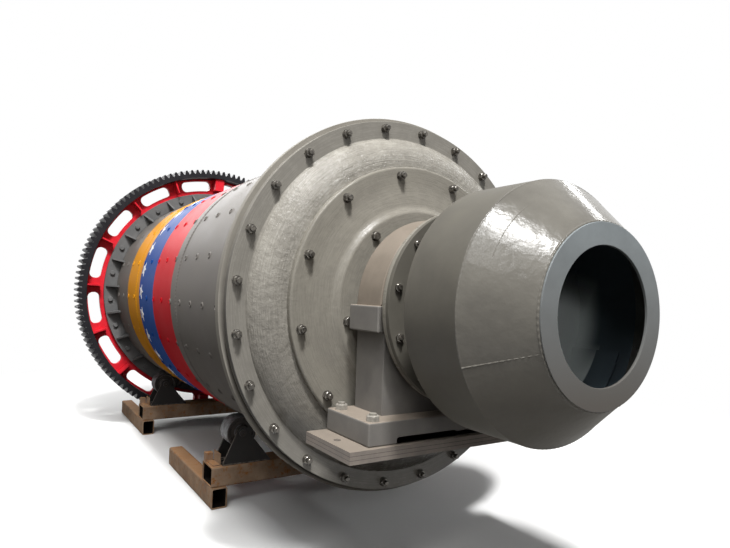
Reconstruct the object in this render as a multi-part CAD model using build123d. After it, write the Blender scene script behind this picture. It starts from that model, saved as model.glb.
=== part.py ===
from build123d import *
import math
import os

# Ball mill on two turning-roll stands. Millimetres, +Z up, +X along the mill axis to the feed end.
# Places along the axis are first given from the outer face of the feed head flange (x = 0),
# and the whole mill is moved at the end so that its box is centred over the origin at floor level.

# Shell and its flanges
shell_bore = 1830.0
shell_wall = 20.0
shell_length = 3505.0
feed_flange_d = 2040.0
feed_flange_t = 45.0
feed_ring_d = 2088.0
gear_flange_d = 2102.0
gear_flange_t = 45.0
gusset_count = 24
gusset_t = 16.0
gusset_length = 130.0
gusset_toe = 15.0
gusset_edge = 12.0

# Mill heads: a flange, a rounded dish and a flat pad that takes the trunnion
head_flange_t = 45.0
head_dish_d = 1846.0
head_dish_rise = 88.0
head_dish_bulge = 26.0
head_wall = 58.0
head_pad_d = 1516.0
head_bore_d = 800.0

# Trunnions
trunnion_flange_d = 1500.0
trunnion_flange_t = 33.0
hub_root_d = 1280.0
hub_shoulder_d = 1056.0
hub_shoulder_rise = 17.0
hub_d = 1000.0
hub_rise = 41.0
journal_d = 680.0
journal_fillet = 20.0
trunnion_bore_d = 460.0
trunnion_end = 515.0
end_flange_d = 940.0
end_flange_t = 25.0
spigot_clearance = 0.5

# Girth gear, cast in two halves
gear_module = 18.0
gear_teeth = 142
gear_face = 290.0
gear_rim_t = 42.0
gear_web_t = 40.0
gear_spokes = 16
slot_inner_d = 2174.0
slot_outer_d = 2384.0
slot_share = 0.68
slot_corner = 46.0
spoke_rib_t = 14.0
spoke_rib_inset = 22.0
split_lug_t = 46.0
gear_turn = -2.0

# Feed drum on the feed trunnion
neck_d = 600.0
neck_wall = 20.0
neck_flange_t = 26.0
neck_length = 215.0
drum_d = 1090.0
drum_length = 298.0
drum_plate = 10.0
back_plate_t = 12.0
cone_length = 210.0
cone_mouth_d = 722.0
mouth_ring_d = 712.0
mouth_d = 536.0
mouth_ring_t = 12.0
scoop_t = 8.0
scoop_length = 250.0
scoop_inner_r = 300.0
scoop_gap = 6.0

# Trunnion bearings, each hanging on its journal with its sole plates under it
bearing_clearance = 0.3
pedestal_start = 205.0
pedestal_length = 239.0
pedestal_width = 844.0
lug_length = 251.0
lug_width = 936.0
lug_height = 123.0
base_start = 180.0
base_length = 371.0
base_width = 1120.0
base_top = 501.0
base_height = 104.0
relief_width = 806.0
relief_foot_width = 146.0
relief_height = 24.0
cap_start = 236.0
cap_length = 208.0
cap_d = 892.0
sole_start = 174.0
sole_length = 402.0
sole_width = 1330.0
sole_plate_t = 18.0
sole_hole_d = 34.0
sole_hole_inset = 53.0

# Turning-roll stands
gear_floor_gap = 66.0
skid_length = 1080.0
skid_width = 105.0
skid_height = 133.0
skid_spread = 1440.0
skid_lead = 8.0
section_wall = 8.0
beam_width = 200.0
beam_height = 130.0
front_beam_x = -1020.0
rear_beam_setback = 440.0
roller_d = 200.0
roller_width = 140.0
roller_angle = 30.0
roller_gap = 0.3
roller_side_gap = 6.0
axle_d = 50.0
axle_clearance = 0.08
axle_overhang = 8.0
bracket_plate_t = 14.0
bracket_foot_t = 10.0
bracket_foot_in = 200.0
bracket_foot_out = 128.0
bracket_boss_d = 84.0

# Worked out from the driving dimensions
shell_r = shell_bore / 2 + shell_wall
shell_front = -head_flange_t
shell_rear = shell_front - shell_length
web_rear = shell_rear - gear_web_t
rear_face = web_rear - head_flange_t
gear_mid = shell_rear - gear_web_t / 2
pitch_r = gear_module * gear_teeth / 2
tip_r = pitch_r + gear_module
root_r = pitch_r - 1.25 * gear_module
rim_inner_r = root_r - gear_rim_t
trunnion_face = head_dish_rise + trunnion_flange_t
hub_face = trunnion_face + hub_rise
neck_face = trunnion_end + neck_flange_t
drum_back = neck_face + neck_length
drum_front = drum_back + back_plate_t + drum_length
cone_front = drum_front + cone_length
mouth_face = cone_front + mouth_ring_t
bearing_r = journal_d / 2 + bearing_clearance
base_bottom = base_top + base_height
sole_end = sole_start + sole_length
front_end = mouth_face
rear_end = rear_face - sole_end
x_shift = -(front_end + rear_end) / 2
axis_height = tip_r + gear_floor_gap
rear_beam_x = shell_rear + rear_beam_setback
beam_bottom = skid_height
beam_top = skid_height + beam_height
roller_orbit = shell_r + roller_d / 2 + roller_gap
roller_y = roller_orbit * math.sin(math.radians(roller_angle))
roller_z = axis_height - roller_orbit * math.cos(math.radians(roller_angle))
bracket_depth = roller_width + 2 * roller_side_gap + 2 * bracket_plate_t


def turned(outline):
    """Solid turned about the mill axis from (x, radius) points, or from drawn edges in that plane."""
    edges = [Polyline(*outline, close=True)] if isinstance(outline[0], tuple) else outline
    return revolve(Plane.XZ * make_face(edges), Axis.X)


def ring(x_low, x_high, inner_d, outer_d):
    """Plain ring about the mill axis."""
    inner = inner_d / 2
    outer = outer_d / 2
    return turned([(x_low, inner), (x_high, inner), (x_high, outer), (x_low, outer)])


def block(x_low, x_high, y_low, y_high, z_low, z_high):
    """Box between two corners."""
    size = (x_high - x_low, y_high - y_low, z_high - z_low)
    middle = ((x_low + x_high) / 2, (y_low + y_high) / 2, (z_low + z_high) / 2)
    return Pos(*middle) * Box(*size)


def polar(radius, degrees):
    """Point in the plane across the mill axis, at an angle from +Y towards +Z."""
    angle = math.radians(degrees)
    return (radius * math.cos(angle), radius * math.sin(angle))


def rear(solid):
    """The same piece at the discharge end, turned to face the other way."""
    return Pos(rear_face, 0, 0) * Rot(0, 0, 180) * solid


# Shell, rolled from plate, with a flange welded on at each end
def shell():
    return ring(shell_rear, shell_front, shell_bore, 2 * shell_r)


def feed_shell_flange():
    """Stands out beyond the flange of the head that is bolted to it."""
    return ring(shell_front - feed_flange_t, shell_front, 2 * shell_r, feed_ring_d)


def gear_mount_flange():
    return ring(shell_rear, shell_rear + gear_flange_t, 2 * shell_r, gear_flange_d)


def gear_flange_gussets():
    """Triangular plates between the shell and the gear flange."""
    foot = shell_rear + gear_flange_t
    top = gear_flange_d / 2 - gusset_edge
    outline = Polyline(
        (foot, shell_r),
        (foot, top),
        (foot + gusset_toe, top),
        (foot + gusset_length, shell_r + gusset_toe),
        (foot + gusset_length, shell_r),
        close=True,
    )
    plate = extrude(Plane.XZ * make_face(outline), gusset_t / 2, both=True)
    return [Rot(gear_turn + 360 / gusset_count * i, 0, 0) * plate for i in range(gusset_count)]


# Head, a casting with a flat flange, a rounded dish and a machined pad for the trunnion
def head():
    flange_r = feed_flange_d / 2
    dish_r = head_dish_d / 2
    pad_r = head_pad_d / 2
    bore_r = head_bore_d / 2
    inside = head_dish_rise - head_wall
    slope_r = pad_r - (head_dish_rise - inside) / 2
    chord = math.hypot(head_dish_rise, dish_r - pad_r)
    crown = (
        head_dish_rise / 2 + head_dish_bulge * (dish_r - pad_r) / chord,
        (dish_r + pad_r) / 2 + head_dish_bulge * head_dish_rise / chord,
    )
    rise = ThreePointArc((0, dish_r), crown, (head_dish_rise, pad_r))
    rest = Polyline(
        (head_dish_rise, pad_r),
        (head_dish_rise, bore_r),
        (inside, bore_r),
        (inside, slope_r),
        (-head_flange_t, shell_bore / 2),
        (-head_flange_t, flange_r),
        (0, flange_r),
        (0, dish_r),
    )
    return turned([rise, rest])


# Trunnion, a casting bolted to the head, with a hub, the journal and an end flange
def trunnion():
    bore_r = trunnion_bore_d / 2
    spigot_r = head_bore_d / 2 - spigot_clearance
    journal_r = journal_d / 2
    return turned([
        (head_dish_rise - head_wall, bore_r),
        (head_dish_rise - head_wall, spigot_r),
        (head_dish_rise, spigot_r),
        (head_dish_rise, trunnion_flange_d / 2),
        (trunnion_face, trunnion_flange_d / 2),
        (trunnion_face, hub_root_d / 2),
        (trunnion_face + hub_shoulder_rise, hub_shoulder_d / 2),
        (hub_face, hub_d / 2),
        (hub_face, journal_r + journal_fillet),
        (hub_face + journal_fillet, journal_r),
        (trunnion_end - end_flange_t, journal_r),
        (trunnion_end - end_flange_t, end_flange_d / 2),
        (trunnion_end, end_flange_d / 2),
        (trunnion_end, bore_r),
    ])


# Girth gear half, a toothed rim on a slotted web with a rib on each spoke
def gear_slot(degrees):
    """Oblong window in the web, centred at an angle."""
    half = 180 / gear_spokes * slot_share
    inner = slot_inner_d / 2
    outer = slot_outer_d / 2
    low = degrees - half
    high = degrees + half
    outline = [
        ThreePointArc(polar(inner, low), polar(inner, degrees), polar(inner, high)),
        Line(polar(inner, high), polar(outer, high)),
        ThreePointArc(polar(outer, high), polar(outer, degrees), polar(outer, low)),
        Line(polar(outer, low), polar(inner, low)),
    ]
    face = make_face(outline)
    return fillet(face.vertices(), slot_corner)


def gear_half(start):
    """Half of the gear, from an angle on round through 180 degrees."""
    tooth_pitch = 360 / gear_teeth
    quarter = math.pi * gear_module / 4
    slope = math.tan(math.radians(20))
    root_half = math.degrees((quarter + slope * 1.25 * gear_module) / root_r)
    tip_half = math.degrees((quarter - slope * gear_module) / tip_r)
    rim_points = [polar(root_r, start)]
    for i in range(gear_teeth // 2):
        middle = start + tooth_pitch * (i + 0.5)
        rim_points.append(polar(root_r, middle - root_half))
        rim_points.append(polar(tip_r, middle - tip_half))
        rim_points.append(polar(tip_r, middle + tip_half))
        rim_points.append(polar(root_r, middle + root_half))
    rim_points.append(polar(root_r, start + 180))
    rim_points.append(polar(rim_inner_r, start + 180))
    inner_arc = ThreePointArc(
        polar(rim_inner_r, start + 180), polar(rim_inner_r, start + 90), polar(rim_inner_r, start))
    closing = Line(polar(rim_inner_r, start), rim_points[0])
    rim_face = make_face([Polyline(*rim_points), inner_arc, closing])
    rim = extrude(Plane.YZ * rim_face, gear_face / 2, both=True)

    bore_r = shell_bore / 2
    web_outline = [
        ThreePointArc(
            polar(rim_inner_r, start), polar(rim_inner_r, start + 90), polar(rim_inner_r, start + 180)),
        Line(polar(rim_inner_r, start + 180), polar(bore_r, start + 180)),
        ThreePointArc(polar(bore_r, start + 180), polar(bore_r, start + 90), polar(bore_r, start)),
        Line(polar(bore_r, start), polar(rim_inner_r, start)),
    ]
    web_face = make_face(web_outline)
    spoke_pitch = 360 / gear_spokes
    for i in range(gear_spokes // 2):
        web_face -= gear_slot(start + spoke_pitch * (i + 0.5))
    web = extrude(Plane.YZ * web_face, gear_web_t / 2, both=True)

    rib_low = slot_inner_d / 2
    rib_depth = gear_face / 2 - spoke_rib_inset
    rib = block(-rib_depth, rib_depth, rib_low, rim_inner_r + gear_rim_t / 2, -spoke_rib_t / 2, spoke_rib_t / 2)
    lug = block(-rib_depth, rib_depth, rib_low, rim_inner_r + gear_rim_t / 2, 0, split_lug_t)
    end_lug = block(-rib_depth, rib_depth, rib_low, rim_inner_r + gear_rim_t / 2, -split_lug_t, 0)
    half = rim + web
    for i in range(1, gear_spokes // 2):
        half += Rot(start + spoke_pitch * i, 0, 0) * rib
    half += Rot(start, 0, 0) * lug
    half += Rot(start + 180, 0, 0) * end_lug
    return Pos(gear_mid, 0, 0) * half


# Feed drum, welded from plate and bolted to the feed trunnion
def feeder_neck():
    outer = neck_d / 2
    inner = outer - neck_wall
    return turned([
        (trunnion_end, inner),
        (trunnion_end, end_flange_d / 2),
        (neck_face, end_flange_d / 2),
        (neck_face, outer),
        (drum_back, outer),
        (drum_back, inner),
    ])


def feeder_back_plate():
    return ring(drum_back, drum_back + back_plate_t, neck_d - 2 * neck_wall, drum_d)


def feeder_drum():
    return ring(drum_back + back_plate_t, drum_front, drum_d - 2 * drum_plate, drum_d)


def feeder_cone():
    back_r = drum_d / 2
    front_r = cone_mouth_d / 2
    return turned([
        (drum_front, back_r),
        (cone_front, front_r),
        (cone_front, front_r - drum_plate),
        (drum_front, back_r - drum_plate),
    ])


def feeder_mouth_ring():
    return ring(cone_front, mouth_face, mouth_d, mouth_ring_d)


def feeder_scoop():
    """Curved lifting plate that runs in from the drum wall to the neck, standing on the back plate."""
    wall_r = drum_d / 2 - drum_plate - scoop_t - scoop_gap
    middle_r = (wall_r + scoop_inner_r) / 2
    path = ThreePointArc(polar(wall_r, 340), polar(middle_r, 260), polar(scoop_inner_r, 180))
    plate = trace(path, line_width=scoop_t)
    return Pos(drum_back + back_plate_t, 0, 0) * extrude(Plane.YZ * plate, scoop_length)


# Trunnion bearing: cast pedestal with half the bore, half-round cap and a stack of sole plates
def bearing_bore():
    return ring(0, sole_end, 0, 2 * bearing_r)


def bearing_pedestal():
    """Base with a hollow under it at each side of its middle foot, upright, and lugs for the cap."""
    half = pedestal_width / 2
    lug_half = lug_width / 2
    base_half = base_width / 2
    relief_half = relief_width / 2
    foot_half = relief_foot_width / 2
    base_end = base_start + base_length
    relief_top = -base_bottom + relief_height
    base = block(base_start, base_end, -base_half, base_half, -base_bottom, -base_top)
    relief = block(base_start, base_end, -relief_half, relief_half, -base_bottom, relief_top)
    relief -= block(base_start, base_end, -foot_half, foot_half, -base_bottom, relief_top)
    upright = block(pedestal_start, pedestal_start + pedestal_length, -half, half, -base_top, -lug_height)
    lug = block(pedestal_start, pedestal_start + lug_length, -lug_half, lug_half, -lug_height, 0)
    return base + upright + lug - relief - bearing_bore()


def bearing_cap():
    cap = ring(cap_start, cap_start + cap_length, 2 * bearing_r, cap_d)
    lower = block(cap_start, cap_start + cap_length, -cap_d, cap_d, -cap_d, 0)
    return cap - lower


def sole_plate(layer):
    """One plate of the stack, counted down from the pedestal, with a bolt hole at each end."""
    half = sole_width / 2
    top = -base_bottom - layer * sole_plate_t
    plate = block(sole_start, sole_end, -half, half, top - sole_plate_t, top)
    hole_x = sole_start + sole_length / 2
    hole = Cylinder(sole_hole_d / 2, 3 * sole_plate_t)
    for side in (-1, 1):
        plate -= Pos(hole_x, side * (half - sole_hole_inset), top) * hole
    return plate


# Turning-roll stand: two skids, a cross beam, two brackets and two rollers
def skid(beam_x, side):
    front = beam_x + skid_lead
    back = front - skid_length
    outer = skid_spread / 2
    inner = outer - skid_width
    section = block(back, front, inner, outer, 0, skid_height)
    wall = section_wall
    section -= block(back, front, inner + wall, outer - wall, wall, skid_height - wall)
    return section if side > 0 else mirror(section, Plane.XZ)


def cross_beam(beam_x):
    half = skid_spread / 2
    wall = section_wall
    back = beam_x - beam_width
    beam = block(back, beam_x, -half, half, beam_bottom, beam_top)
    return beam - block(back + wall, beam_x - wall, -half, half, beam_bottom + wall, beam_top - wall)


def roller_bracket(beam_x, side):
    """Foot plate with an upright plate at each end of the roller, bored for the axle."""
    middle = beam_x - beam_width / 2
    half = bracket_depth / 2
    foot_top = beam_top + bracket_foot_t
    inner = roller_y - bracket_foot_in
    outer = roller_y + bracket_foot_out
    foot = block(middle - half, middle + half, inner, outer, beam_top, foot_top)
    boss_r = bracket_boss_d / 2
    outline = Polyline(
        (inner, foot_top),
        (outer, foot_top),
        (roller_y + boss_r, roller_z),
        (roller_y - boss_r, roller_z),
        close=True,
    )
    profile = make_face(outline) + Pos(roller_y, roller_z) * Circle(boss_r)
    profile -= Pos(roller_y, roller_z) * Circle(axle_d / 2 + axle_clearance)
    plate = extrude(Plane.YZ * profile, bracket_plate_t)
    bracket = foot + Pos(middle + half - bracket_plate_t, 0, 0) * plate + Pos(middle - half, 0, 0) * plate
    return bracket if side > 0 else mirror(bracket, Plane.XZ)


def roller(beam_x, side):
    """Roller and its axle, turned in one piece."""
    half = roller_width / 2
    axle_half = bracket_depth / 2 + axle_overhang
    body = turned([
        (-axle_half, 0),
        (-axle_half, axle_d / 2),
        (-half, axle_d / 2),
        (-half, roller_d / 2),
        (half, roller_d / 2),
        (half, axle_d / 2),
        (axle_half, axle_d / 2),
        (axle_half, 0),
    ])
    return Pos(beam_x - beam_width / 2, side * roller_y, roller_z) * body


# Pieces on the mill axis, lifted to the axis height
on_axis = {
    "shell": shell(),
    "feed_shell_flange": feed_shell_flange(),
    "gear_mount_flange": gear_mount_flange(),
    "gear_flange_gussets": gear_flange_gussets(),
    "feed_head": head(),
    "discharge_head": rear(head()),
    "feed_trunnion": trunnion(),
    "discharge_trunnion": rear(trunnion()),
    "gear_half_left": gear_half(90 + gear_turn),
    "gear_half_right": gear_half(270 + gear_turn),
    "feeder_neck": feeder_neck(),
    "feeder_back_plate": feeder_back_plate(),
    "feeder_drum": feeder_drum(),
    "feeder_cone": feeder_cone(),
    "feeder_mouth_ring": feeder_mouth_ring(),
    "feeder_scoop": feeder_scoop(),
    "feed_bearing_pedestal": bearing_pedestal(),
    "feed_bearing_cap": bearing_cap(),
    "discharge_bearing_pedestal": rear(bearing_pedestal()),
    "discharge_bearing_cap": rear(bearing_cap()),
}
for layer, layer_name in enumerate(("upper", "middle", "lower")):
    on_axis[f"feed_sole_plate_{layer_name}"] = sole_plate(layer)
    on_axis[f"discharge_sole_plate_{layer_name}"] = rear(sole_plate(layer))

# Pieces of the stands, placed from the floor
on_floor = {}
for stand_name, stand_x in (("front", front_beam_x), ("rear", rear_beam_x)):
    on_floor[f"{stand_name}_cross_beam"] = cross_beam(stand_x)
    for side_name, side in (("left", -1), ("right", 1)):
        on_floor[f"{stand_name}_{side_name}_skid"] = skid(stand_x, side)
        on_floor[f"{stand_name}_{side_name}_roller_bracket"] = roller_bracket(stand_x, side)
        on_floor[f"{stand_name}_{side_name}_roller"] = roller(stand_x, side)

os.makedirs("parts", exist_ok=True)
for pieces, lift in ((on_axis, axis_height), (on_floor, 0.0)):
    for node, solid in pieces.items():
        solids = solid if isinstance(solid, list) else [solid]
        placed = [Pos(x_shift, 0, lift) * one for one in solids]
        whole = placed[0] if len(placed) == 1 else Compound(children=placed)
        export_step(whole, f"parts/{node}.step")
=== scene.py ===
import bmesh
import bpy
import numpy as np
from mathutils import Matrix, Vector


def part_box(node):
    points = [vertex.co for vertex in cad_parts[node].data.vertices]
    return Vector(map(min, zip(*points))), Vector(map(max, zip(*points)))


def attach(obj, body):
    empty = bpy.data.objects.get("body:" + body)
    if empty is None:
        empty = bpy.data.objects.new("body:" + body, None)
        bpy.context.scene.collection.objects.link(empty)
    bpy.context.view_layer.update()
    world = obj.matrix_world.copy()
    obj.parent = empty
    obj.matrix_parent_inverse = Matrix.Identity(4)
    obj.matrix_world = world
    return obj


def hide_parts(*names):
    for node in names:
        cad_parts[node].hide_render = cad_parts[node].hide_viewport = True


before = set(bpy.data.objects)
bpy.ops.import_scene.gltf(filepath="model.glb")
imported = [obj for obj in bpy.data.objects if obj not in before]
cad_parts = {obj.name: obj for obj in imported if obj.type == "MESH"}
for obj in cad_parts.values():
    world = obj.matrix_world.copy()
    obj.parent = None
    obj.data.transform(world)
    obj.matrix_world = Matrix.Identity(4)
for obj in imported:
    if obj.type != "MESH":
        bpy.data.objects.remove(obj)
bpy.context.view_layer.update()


# Shell: a 3.5 m cylinder of 20 mm mild steel plate, rolled, and welded along its length and round two girths.
# It is sprayed with grey enamel. A red, a blue and a yellow band are brushed on near the gear end.
mm = 0.001
shell_low, shell_high = np.array(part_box("shell"))
axis_height = (shell_low[2] + shell_high[2]) / 2
head_flange_thick = 45
flange_face = shell_high[0] + head_flange_thick * mm
shell_radius = (shell_high[1] - shell_low[1]) / 2 / mm
shell_wall = 20
shell_front = -head_flange_thick
shell_rear = shell_front - (shell_high[0] - shell_low[0]) / mm


def grid_faces(rows, columns, close_rows=True, close_columns=True):
    """Quads between neighbouring rows and columns of a grid, where the last joins the first if it closes."""
    row = np.arange(rows if close_rows else rows - 1)[:, None]
    column = np.arange(columns if close_columns else columns - 1)[None, :]
    next_row = (row + 1) % rows
    next_column = (column + 1) % columns
    corners = (row * columns + column, next_row * columns + column,
               next_row * columns + next_column, row * columns + next_column)
    return np.stack(np.broadcast_arrays(*corners), -1).reshape(-1, 4)


def add_piece(name, shapes, finish, body, slot, *nodes):
    """One mesh of (points, face arrays) shapes in mill mm, faces outward, in place of the CAD nodes."""
    points = []
    faces = []
    count = 0
    for shape_points, face_arrays in shapes:
        shape_points = np.asarray(shape_points, float).reshape(-1, 3)
        points.append(shape_points * mm + (flange_face, 0, axis_height))
        for face_array in face_arrays:
            faces += (np.asarray(face_array) + count).tolist()
        count += len(shape_points)
    mesh = bpy.data.meshes.new(name)
    mesh.from_pydata(np.concatenate(points).tolist(), [], faces)
    skin = bmesh.new()
    skin.from_mesh(mesh)
    bmesh.ops.recalc_face_normals(skin, faces=skin.faces)
    skin.to_mesh(mesh)
    skin.free()
    mesh.shade_smooth()
    mesh.set_sharp_from_angle(angle=np.radians(40))
    mesh.materials.append(finish)
    piece = bpy.data.objects.new(name, mesh)
    bpy.context.scene.collection.objects.link(piece)
    piece.modifiers.new("flats_stay_flat", "WEIGHTED_NORMAL").keep_sharp = True
    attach(piece, body)
    if nodes:
        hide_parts(*nodes)
    return piece


def turned(loop, turns=192, uneven=0.0):
    """Closed loop of (x, r) turned to (x, r cos a, r sin a), with r swollen by slow waves in a and x."""
    x, r = np.asarray(loop, float).T
    angle = np.linspace(0, 2 * np.pi, turns, endpoint=False)[:, None]
    wave = np.sin(3 * angle + x / 410) + 0.6 * np.sin(7 * angle - x / 230) + 0.4 * np.sin(13 * angle + x / 90)
    r = r + uneven * wave
    points = np.stack(np.broadcast_arrays(x, r * np.cos(angle), r * np.sin(angle)), -1)
    return points, [grid_faces(turns, len(x))]


def linear(colour):
    """A colour written as sRGB hex, as linear red, green, blue and a full alpha."""
    parts = np.array([int(colour[i:i + 2], 16) for i in (1, 3, 5)]) / 255
    parts = np.where(parts <= 0.04045, parts / 12.92, ((parts + 0.055) / 1.055) ** 2.4)
    return (*parts.tolist(), 1.0)


def add_node(tree, kind, links=None, **settings):
    """Adds a shader node, sets its properties, and links or sets each named or numbered input."""
    made = tree.nodes.new("ShaderNode" + kind)
    for key, value in settings.items():
        setattr(made, key, value)
    for key, value in (links or {}).items():
        if isinstance(value, bpy.types.NodeSocket):
            tree.links.new(value, made.inputs[key])
        else:
            made.inputs[key].default_value = value
    return made


def new_finish(name):
    """A material, its nodes, its shader, and Object coordinates from the middle of the feed flange."""
    finish = bpy.data.materials.new(name)
    finish.use_nodes = True
    tree = finish.node_tree
    place = add_node(tree, "TexCoord").outputs["Object"]
    to_flange = (-flange_face, 0, -axis_height)
    place = add_node(tree, "Mapping", {"Vector": place, "Location": to_flange}).outputs[0]
    return finish, tree, tree.nodes["Principled BSDF"], place


def per_size(size):
    """Texture scale at which one feature of a noise is about this many millimetres wide."""
    return 1 / (size * mm)


def from_axis(tree, place):
    """The part of a place that is square to the mill axis, and its length, the distance from the axis."""
    across = add_node(tree, "VectorMath", {0: place, 1: (0, 1, 1)}, operation="MULTIPLY").outputs[0]
    return across, add_node(tree, "VectorMath", {0: across}, operation="LENGTH").outputs["Value"]


def coat(tree, shader, place, tones, rough, blotch=260, grit=5, lift=0.2, sheen=0.3, swirl=None):
    """Sprayed enamel: two tones in blotches, roughness that follows them, and grit of a size and lift in mm.
    With a swirl, in mm, patchy brush strokes round the mill axis are added to the bump and the tones.
    The grit of real paint is under a millimetre, and is drawn coarser here so that it shows."""
    blotches = add_node(tree, "TexNoise", {"Vector": place, "Scale": per_size(blotch), "Detail": 6.0,
                                           "Roughness": 0.62}).outputs[0]
    share = add_node(tree, "MapRange", {0: blotches, 1: 0.3, 2: 0.7}).outputs[0]
    height = add_node(tree, "TexNoise", {"Vector": place, "Scale": per_size(grit), "Detail": 2.0}).outputs[0]
    if swirl:
        across, radius = from_axis(tree, place)
        heading = add_node(tree, "VectorMath", {0: across}, operation="NORMALIZE").outputs[0]
        depth = add_node(tree, "Math", {0: radius, 1: per_size(swirl)}, operation="MULTIPLY").outputs[0]
        strokes = {"Vector": heading, "W": depth, "Scale": 6.0, "Detail": 5.0, "Roughness": 0.65,
                   "Distortion": 0.9}
        marks = add_node(tree, "TexNoise", strokes, noise_dimensions="4D").outputs[0]
        filler = {"Vector": place, "Scale": per_size(swirl), "Detail": 3.0}
        lumps = add_node(tree, "TexNoise", filler).outputs[0]
        height = add_node(tree, "Math", {0: marks, 1: 5.0, 2: height}, operation="MULTIPLY_ADD").outputs[0]
        height = add_node(tree, "Math", {0: lumps, 1: 6.0, 2: height}, operation="MULTIPLY_ADD").outputs[0]
        streaks = add_node(tree, "MapRange", {0: marks, 1: 0.35, 2: 0.65}).outputs[0]
        share = add_node(tree, "Mix", {0: 0.5, 2: share, 3: streaks}).outputs[0]
    shades = {0: share, 6: linear(tones[0]), 7: linear(tones[1])}
    colour = add_node(tree, "Mix", shades, data_type="RGBA").outputs[2]
    roughness = add_node(tree, "MapRange", {0: share, 3: rough[0], 4: rough[1]}).outputs[0]
    bump = add_node(tree, "Bump", {"Height": height, "Distance": lift * mm}).outputs[0]
    shader.inputs["Specular IOR Level"].default_value = sheen
    tree.links.new(colour, shader.inputs["Base Color"])
    tree.links.new(roughness, shader.inputs["Roughness"])
    tree.links.new(bump, shader.inputs["Normal"])
    return colour


def duller(tree, shader, share, more):
    """Adds so much roughness to a coat where a share is one."""
    gloss = shader.inputs["Roughness"].links[0].from_socket
    rough = add_node(tree, "Math", {0: share, 1: more, 2: gloss}, operation="MULTIPLY_ADD").outputs[0]
    tree.links.new(rough, shader.inputs["Roughness"])


def below(tree, place, top, bottom):
    """Nought above a height in mm, one below another, and a slope between them."""
    height = add_node(tree, "SeparateXYZ", {0: place}).outputs[2]
    return add_node(tree, "MapRange", {0: height, 1: bottom * mm, 2: top * mm, 3: 1.0, 4: 0.0}).outputs[0]


# Grey alkyd enamel with painted bands: satin, a little dusty, with brush wobble at the edges of the bands.
# Each tone starts at a place along the axis. Dust off the floor dulls the lower half.
band_tones = (("#6c6863", -4000), ("#d28d1c", -2930), ("#124084", -2430), ("#bb121e", -1928),
              ("#6c6863", -1385))
band_dust = "#5d5450"
band_wobble = 5
dust_heights = (100, -300)
dust_dulling = 0.35
shell_paint, tree, shader, place = new_finish("grey_enamel_with_bands")
grey = coat(tree, shader, place, ("#625e5a", "#706c67"), (0.4, 0.52), blotch=420, grit=7, sheen=0.06)
duller(tree, shader, below(tree, place, *dust_heights), dust_dulling)
wobble = add_node(tree, "TexNoise", {"Vector": place, "Scale": per_size(70), "Detail": 2.0}).outputs[0]
along = add_node(tree, "SeparateXYZ", {0: place}).outputs[0]
wobbled = {0: wobble, 1: 2 * band_wobble * mm, 2: along}
along = add_node(tree, "Math", wobbled, operation="MULTIPLY_ADD").outputs[0]
band_start = band_tones[0][1]
share = add_node(tree, "MapRange", {0: along, 1: band_start * mm, 2: 0.0}).outputs[0]
ramp = add_node(tree, "ValToRGB", {0: share})
edges = ramp.color_ramp.elements
ramp.color_ramp.interpolation = "CONSTANT"
edges.remove(edges[1])
for tone, start in band_tones:
    spot = 1 - start / band_start
    edge = edges.new(spot) if spot > 0 else edges[0]
    edge.color = linear(tone)
dust = add_node(tree, "TexNoise", {"Vector": place, "Scale": per_size(160), "Detail": 7.0,
                                   "Roughness": 0.7}).outputs[0]
dust = add_node(tree, "MapRange", {0: dust, 1: 0.45, 2: 0.8, 3: 0.0, 4: 0.06}).outputs[0]
bright = add_node(tree, "Mix", {0: dust, 6: ramp.outputs[0], 7: linear(band_dust)},
                  data_type="RGBA").outputs[2]
after = add_node(tree, "Math", {0: along, 1: band_tones[1][1] * mm}, operation="GREATER_THAN").outputs[0]
before = add_node(tree, "Math", {0: along, 1: band_tones[-1][1] * mm}, operation="LESS_THAN").outputs[0]
painted = add_node(tree, "Math", {0: after, 1: before}, operation="MULTIPLY").outputs[0]
colour = add_node(tree, "Mix", {0: painted, 6: grey, 7: bright}, data_type="RGBA").outputs[2]
tree.links.new(colour, shader.inputs["Base Color"])

shell_steps = np.linspace(shell_rear, shell_front, 50)
shell_bore = shell_radius - shell_wall
shell_loop = [(x, shell_radius) for x in shell_steps] + [(x, shell_bore) for x in shell_steps[::-1]]
add_piece("shell", [turned(shell_loop, turns=240, uneven=0.35)], shell_paint, "drum", "grey_enamel", "shell")

# Stars: white five-pointed marks, stencilled in enamel along the edge of the blue band, all round the shell.
# Each is a film of paint that follows the curve of the plate.
star_count = 32
star_radius = 62
star_waist = 0.42
star_x = -2350
star_lift = 1.6
# White stencil enamel: thin and chalky, and not quite even.
star_white, tree, shader, place = new_finish("white_stencil_enamel")
coat(tree, shader, place, ("#d5d3cf", "#efede8"), (0.4, 0.5), blotch=40)
tips = np.arange(10)
tip_reach = np.where(tips % 2 == 0, star_radius, star_radius * star_waist)
star_along = np.append(0, tip_reach * np.cos(tips * np.pi / 5))
star_round = np.append(0, tip_reach * np.sin(tips * np.pi / 5))
star_turn = np.linspace(0, 2 * np.pi, star_count, endpoint=False)[:, None] + star_round / shell_radius
star_r = shell_radius + np.array([-star_lift, star_lift])[:, None, None]
star_points = np.stack(np.broadcast_arrays(
    star_x + star_along, star_r * np.cos(star_turn), star_r * np.sin(star_turn)), -1)
fan = np.stack([0 * tips, tips + 1, (tips + 1) % 10 + 1], -1)
layer = star_count * len(star_along)
side = np.concatenate([fan[:, 1:], fan[:, :0:-1] + layer], -1)
starts = np.arange(star_count)[:, None, None] * len(star_along)
star_faces = [(fan + starts).reshape(-1, 3), (fan + starts + layer).reshape(-1, 3),
              (side + starts).reshape(-1, 4)]
add_piece("star_marks", [(star_points, star_faces)], star_white, "drum", "grey_enamel")

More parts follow.
